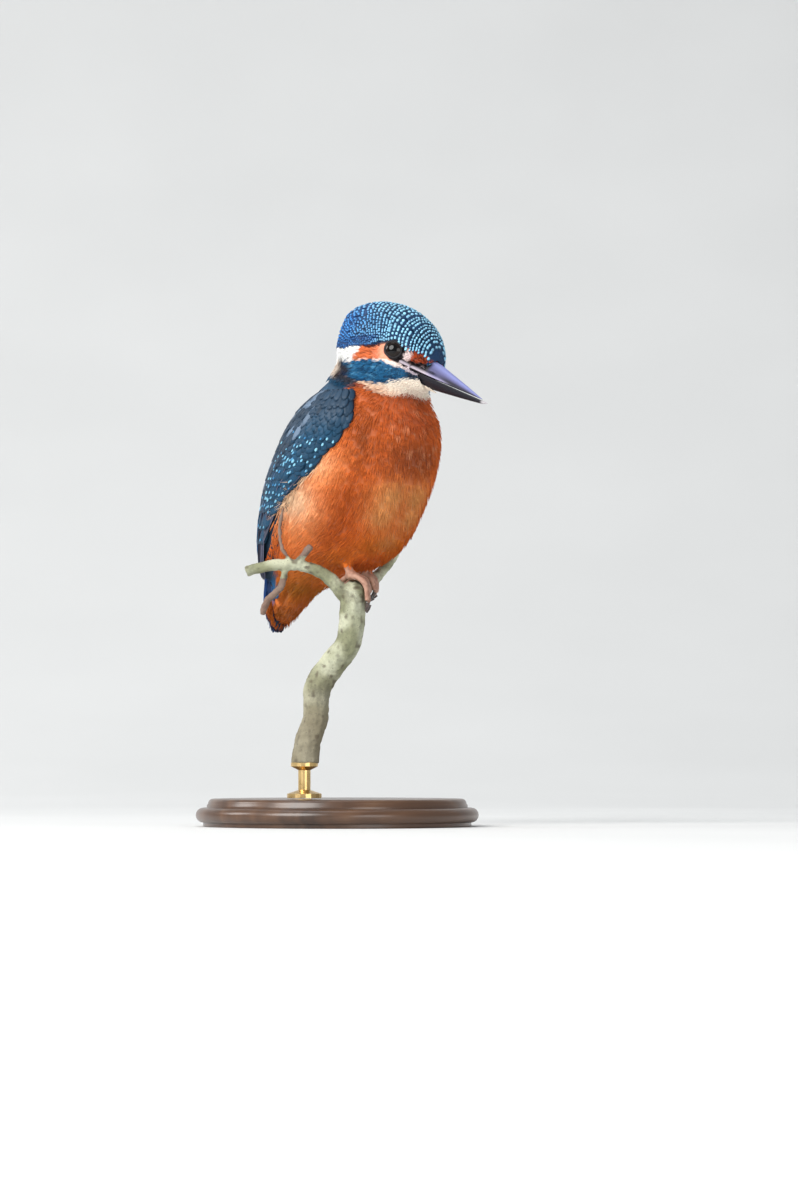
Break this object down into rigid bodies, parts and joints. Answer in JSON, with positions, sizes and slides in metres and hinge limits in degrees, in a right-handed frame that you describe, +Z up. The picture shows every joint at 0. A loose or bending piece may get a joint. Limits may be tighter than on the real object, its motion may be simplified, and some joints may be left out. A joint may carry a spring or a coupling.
{
  "type": "kingfisher",
  "caption": "Life-size still model of a young common kingfisher perched on a cut branch, held over a round display base by a short rod.",
  "frame": {"origin": "middle of the round base's underside, on the floor", "axes": "+Z up; the bird's body faces -Y and its right side is towards -X"},
  "size_m": [0.092, 0.1119, 0.1694],
  "materials": {
    "plumage_head": "deep blue crown feathers with pale turquoise spots, orange cheek, white neck patch",
    "plumage_breast": "soft orange-brown feathers, darker on the breast and paler on the flanks and belly",
    "plumage_wing": "teal wing coverts with pale blue spots, dark brown flight feathers",
    "plumage_tail": "satin dark blue tail feathers",
    "bill": "satin blue-black horn with a pale tip",
    "eye": "glossy dark brown, almost black",
    "foot_skin": "matt scaled skin, orange-pink with a dusky tinge",
    "claw": "satin dark horn",
    "bark": "pale grey-green bark with lichen, leaf scars and lenticels",
    "stand_wood": "dark waxed hardwood, fine grain",
    "stand_brass": "turned and satin brushed"
  },
  "bodies": {
    "root": {"head": "plumage_head", "neck": "plumage_breast", "trunk": "plumage_breast", "tail": "plumage_tail", "wing_right": "plumage_wing", "wing_left": "plumage_wing", "bill_upper": "bill", "bill_lower": "bill", "eye_right": "eye", "eye_left": "eye", "leg_right": "foot_skin", "leg_left": "foot_skin", "foot_right": "foot_skin", "foot_left": "foot_skin", "perch": "bark", "stand_base": "stand_wood", "stand_rod": "stand_brass", "claw_right_1": "claw", "claw_right_2": "claw", "claw_right_3": "claw", "claw_right_4": "claw", "claw_left_1": "claw", "claw_left_2": "claw", "claw_left_3": "claw", "claw_left_4": "claw"}
  },
  "joints": []
}
